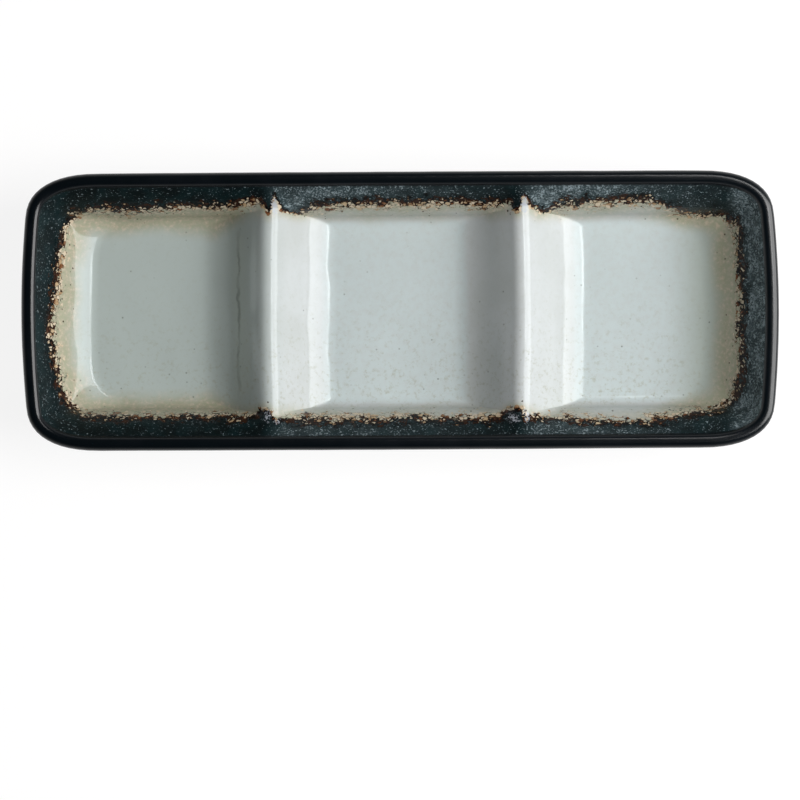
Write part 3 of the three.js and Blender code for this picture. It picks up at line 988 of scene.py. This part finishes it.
def dark_glaze(n, edge):
    """Colour of the dark glaze, with a painted sheen that lies thickest to the right of each divider and on the
    right end, and specks, partly painted glints, that crowd where the sheen lies."""
    teal = n.step(n.noise(6.0, 2.0, 0.5, (1.0, 9.0, 5.0)), 0.4, 0.7)
    dark = n.mix(teal, BAND, BAND_TEAL)
    first = n.times(
        n.step(n.x, *SHEEN_LEFT_START),
        n.step(n.x, *SHEEN_LEFT_THIN, 1.5, 0.3),
        n.step(n.x, *SHEEN_LEFT_STOP, 1.0, 0.0),
    )
    second = n.times(n.step(n.x, *SHEEN_RIGHT_START), n.step(n.x, *SHEEN_RIGHT_THIN, 1.8, 0.3))
    painted_sheen = n.times(n.plus(first, second), n.step(n.y, *SHEEN_BACK, 0.62, 1.0))
    painted_sheen = n.math("MAXIMUM", painted_sheen, n.step(n.x, *SHEEN_RIGHT_END, 0.0, 2.1))
    painted_sheen = n.math("MAXIMUM", painted_sheen, n.step(n.x, *SHEEN_LEFT_END, 0.0, 0.12))
    cloud = n.step(n.noise(5.0, 3.0, 0.6, (8.0, 1.0, 2.0)), 0.3, 0.7, 0.5, 1.15)
    painted_sheen = n.times(painted_sheen, cloud, n.step(edge, 0.4, 1.8, 0.4, 1.0))
    # Painted sheen: the dark glaze lighter where its satin shine would catch the light
    dark = n.mix(n.math("MULTIPLY", painted_sheen, 0.5, clamp=True), dark, BAND_SHEEN)
    # Specks, partly the glaze's own speckle and partly painted glints, more of them where the painted sheen
    # lies
    speck_and_glint = n.plus(n.noise(0.65, 2.0, 0.6, (3.0, 3.0, 7.0)), n.times(painted_sheen, 0.09))
    patchy = n.step(n.noise(2.0, 2.0, 0.5, (5.0, 1.0, 1.0)), 0.35, 0.6, 0.2, 0.85)
    return n.mix(n.times(n.step(speck_and_glint, 0.6, 0.74), patchy), dark, BAND_SPECK_AND_GLINT)


def silver_and_highlight_share(n):
    """Share of the broken silver on the ends of the dividers, partly the glaze's own and partly a painted
    highlight.
    """
    near = n.attribute("glint")
    broken = n.push(n.noise(0.6, 2.0, 0.6, (2.0, 2.0, 6.0)), 1.8)
    return n.times(n.step(n.plus(near, broken), 0.4, 0.75), n.step(near, 0.1, 0.35, 0.0, 0.9))


def inside_glaze(name, gloss):
    """The inside, whose coats share one pattern so that no seam shows where they meet."""
    n = Nodes(name)
    tide = n.attribute("tide")
    broad = n.math("SUBTRACT", n.noise(14.0, 2.0), 0.5)
    ragged = n.push(n.noise(3.2, 3.0, 0.65, (7.0, 3.0, 2.0)), 5.5)
    # Distance past the ragged edge of the pale glaze, positive on the dark side
    edge = n.plus(tide, n.times(broad, 3.0), ragged)
    mottle = n.noise(1.3, 3.0, 0.6, (2.0, 7.0, 4.0))

    colour, lot = iron_edge(n, edge, pale_glaze(n, tide, broad, mottle))
    swamped = n.step(n.plus(edge, n.times(lot, 1.4)), 0.7, 1.1)
    colour = n.mix(swamped, colour, dark_glaze(n, edge))
    # Painted highlight, partly the thin glaze's own silver, on the ends of the dividers
    colour = n.mix(silver_and_highlight_share(n), colour, SILVER_AND_HIGHLIGHT)
    black, black_rough, _, _ = black_glaze(n)
    lip = n.step(n.z, *LIP_LEVELS)
    colour = n.mix(lip, colour, black)

    dark_rough = n.step(mottle, 0.3, 0.7, *DARK_ROUGHNESS)
    rough = n.blend(n.step(edge, -1.6, 1.6), PALE_ROUGHNESS, dark_rough)
    rough = n.blend(lip, rough, black_rough)
    pebble = n.noise(0.7, 3.0, 0.65, (6.0, 2.0, 1.0))
    height = n.times(pebble, n.blend(lip, n.step(edge, -2.5, 1.5, 0.02, 1.0), 0.1))
    return n.glazed(colour, rough, n.bump(height, 0.7, 0.14), n.times(lip, RIM_COAT), gloss)


def outside_glaze(name):
    n = Nodes(name)
    colour, rough, grain, rim = black_glaze(n)
    dusty = n.times(n.step(grain, 0.48, 0.7), n.blend(rim, 0.8, 0.0))
    colour = n.mix(dusty, colour, DUST)
    pits = n.noise(1.6, 4.0, 0.6, (1.0, 4.0, 2.0))
    height = n.plus(n.times(pits, 0.6), n.times(grain, 0.4))
    height = n.times(height, n.blend(rim, 1.0, 0.15))
    coat = n.step(n.z, *COAT_LEVELS, 0.0, RIM_COAT)
    return n.glazed(colour, rough, n.bump(height, 0.45, 0.12), coat, WALL_GLOSS)


def bare_clay(name):
    n = Nodes(name)
    sand = n.noise(0.8, 4.0, 0.65)
    drift = n.noise(8.0, 2.0, 0.5, (5.0, 5.0, 0.0))
    colour = n.mix(n.step(drift, 0.3, 0.7), CLAY, CLAY_DEEP)
    away, lot, _, _ = n.cells(1.1)
    iron = n.times(n.math("GREATER_THAN", lot, 0.85), n.step(away, 0.1, 0.35, 0.8, 0.0))
    return n.surface(
        Base_Color=n.mix(iron, colour, CLAY_IRON),
        Roughness=n.step(sand, 0.3, 0.7, 0.75, 0.95),
        Normal=n.bump(sand, 0.6, 0.15),
    )


materials = {
    "bare_stoneware": bare_clay("bare_stoneware"),
    "matt_black_glaze": outside_glaze("matt_black_glaze"),
    "speckled_dark_glaze": inside_glaze("speckled_dark_glaze", DARK_GLOSS),
    "rust_glaze": inside_glaze("rust_glaze", BREAK_GLOSS),
    "celadon_glaze": inside_glaze("celadon_glaze", PALE_GLOSS),
}

for node, piece in pieces.items():
    piece.data.materials.clear()
    piece.data.materials.append(materials[SLOTS[node]])
    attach(piece, "root")
    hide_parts(node)

# Studio: a white floor that curves up into a wall all round
FLOOR_RADIUS = 2.6
COVE = 0.5
WALL = 0.2
STUDIO_SIDES = 96
COVE_STEPS = 16
# The floor's white for the light it throws back, and the grey and the glow that are its white where it is seen
MATT_WHITE = 0.8
SEEN_GREY = 0.17
SEEN_GLOW = 0.87


def studio():
    profile = [(0.0, 0.0), (FLOOR_RADIUS, 0.0)]
    for angle in np.linspace(0, math.pi / 2, COVE_STEPS + 1)[1:]:
        profile.append((FLOOR_RADIUS + COVE * math.sin(angle), COVE * (1 - math.cos(angle))))
    profile.append((FLOOR_RADIUS + COVE, COVE + WALL))
    points = [(0.0, 0.0, 0.0)]
    polygons = []
    for radius, level in profile[1:]:
        for turn in np.linspace(0, 2 * math.pi, STUDIO_SIDES, endpoint=False):
            points.append((radius * math.cos(turn), radius * math.sin(turn), level))
    for j in range(STUDIO_SIDES):
        k = (j + 1) % STUDIO_SIDES
        polygons.append([0, 1 + j, 1 + k])
        for i in range(len(profile) - 2):
            a, b = 1 + i * STUDIO_SIDES, 1 + (i + 1) * STUDIO_SIDES
            polygons.append([a + j, b + j, b + k, a + k])
    made = mesh_object("studio_floor", np.array(points) / MM, polygons)
    made.data.shade_smooth()
    return made


def studio_white():
    """Matt white for the light it throws on the dish, and an even white where it is seen or mirrored."""
    material = bpy.data.materials.new("studio_white")
    material.use_nodes = True
    tree = material.node_tree
    tree.nodes.clear()

    def joined(kind, *sources):
        node = tree.nodes.new(kind)
        for socket, source in zip(node.inputs, sources):
            tree.links.new(source, socket)
        return node

    def matt(grey):
        node = tree.nodes.new("ShaderNodeBsdfDiffuse")
        node.inputs["Color"].default_value = (grey, grey, grey, 1)
        return node.outputs[0]

    rays = tree.nodes.new("ShaderNodeLightPath").outputs
    seen = rays["Is Camera Ray"]
    for name in ("Is Glossy Ray", "Is Transmission Ray"):
        either = joined("ShaderNodeMath", seen, rays[name])
        either.operation = "MAXIMUM"
        seen = either.outputs[0]
    glow = tree.nodes.new("ShaderNodeEmission")
    glow.inputs["Color"].default_value = (1, 1, 1, 1)
    glow.inputs["Strength"].default_value = SEEN_GLOW
    white = joined("ShaderNodeAddShader", matt(SEEN_GREY), glow.outputs[0])
    choice = joined("ShaderNodeMixShader", seen, matt(MATT_WHITE), white.outputs[0])
    joined("ShaderNodeOutputMaterial", choice.outputs[0])
    return material


floor = studio()
floor.data.materials.append(studio_white())

# One soft box to the right, a strip behind that only shows in gloss, and a surround that is light low down and
# dark overhead
LAMP_COLOUR = (1.0, 0.975, 0.965)
LAMP_DISTANCE = 0.9
KEY_TILT = math.radians(46)
KEY_HEIGHT = 0.86
KEY_WIDTH = 0.6
KEY_POWER = 12.0
STRIP_TILT = math.radians(14)
STRIP_X = 0.28
STRIP_LENGTH = 0.5
STRIP_WIDTH = 0.09
STRIP_POWER = 1.2
SURROUND_LOW = 0.42
SURROUND_OVERHEAD = 0.04
SURROUND_FALL = (0.25, 0.85)


def soft_box(name, place, size_x, size_y, power):
    """A lamp that faces the middle of the dish."""
    data = bpy.data.lights.new(name, "AREA")
    data.shape = "RECTANGLE"
    data.size = size_x
    data.size_y = size_y
    data.energy = power
    data.color = LAMP_COLOUR
    lamp = bpy.data.objects.new(name, data)
    lamp.location = place
    lamp.rotation_euler = Vector(place).to_track_quat("Z", "Y").to_euler()
    lamp.visible_camera = False
    bpy.context.scene.collection.objects.link(lamp)
    return lamp


key_place = (LAMP_DISTANCE * math.sin(KEY_TILT), 0, LAMP_DISTANCE * math.cos(KEY_TILT))
soft_box("key_softbox", key_place, KEY_WIDTH, KEY_HEIGHT, KEY_POWER)
strip_place = (STRIP_X, LAMP_DISTANCE * math.sin(STRIP_TILT), LAMP_DISTANCE * math.cos(STRIP_TILT))
strip = soft_box("rim_strip", strip_place, STRIP_LENGTH, STRIP_WIDTH, STRIP_POWER)
strip.visible_diffuse = False


def studio_surround():
    world = bpy.data.worlds.new("studio")
    world.use_nodes = True
    tree = world.node_tree
    surround = tree.nodes["Background"]
    surround.inputs["Color"].default_value = (1, 1, 1, 1)
    toward = tree.nodes.new("ShaderNodeTexCoord")
    split = tree.nodes.new("ShaderNodeSeparateXYZ")
    fall = tree.nodes.new("ShaderNodeMapRange")
    fall.interpolation_type = "SMOOTHSTEP"
    for socket, value in zip(fall.inputs[1:], (*SURROUND_FALL, SURROUND_LOW, SURROUND_OVERHEAD)):
        socket.default_value = value
    tree.links.new(toward.outputs["Generated"], split.inputs[0])
    tree.links.new(split.outputs["Z"], fall.inputs[0])
    tree.links.new(fall.outputs[0], surround.inputs["Strength"])
    return world


bpy.context.scene.world = studio_surround()

# Camera straight above, as in the photograph's upper view
CAMERA_PLACE = (-0.0002, -0.0289, 1.2)
CAMERA_TURN = math.radians(-0.31)
PIXELS_PER_MM = 3.098
IMAGE_SIDE = 800
half_view = IMAGE_SIDE / 2 / PIXELS_PER_MM * MM
camera_data = bpy.data.cameras.new("camera")
camera_data.lens = camera_data.sensor_width / 2 * (CAMERA_PLACE[2] - HEIGHT * MM) / half_view
camera = bpy.data.objects.new("camera", camera_data)
camera.location = CAMERA_PLACE
camera.rotation_euler = (0, 0, CAMERA_TURN)
bpy.context.scene.collection.objects.link(camera)
bpy.context.scene.camera = camera
bpy.context.scene.view_settings.view_transform = "Standard"
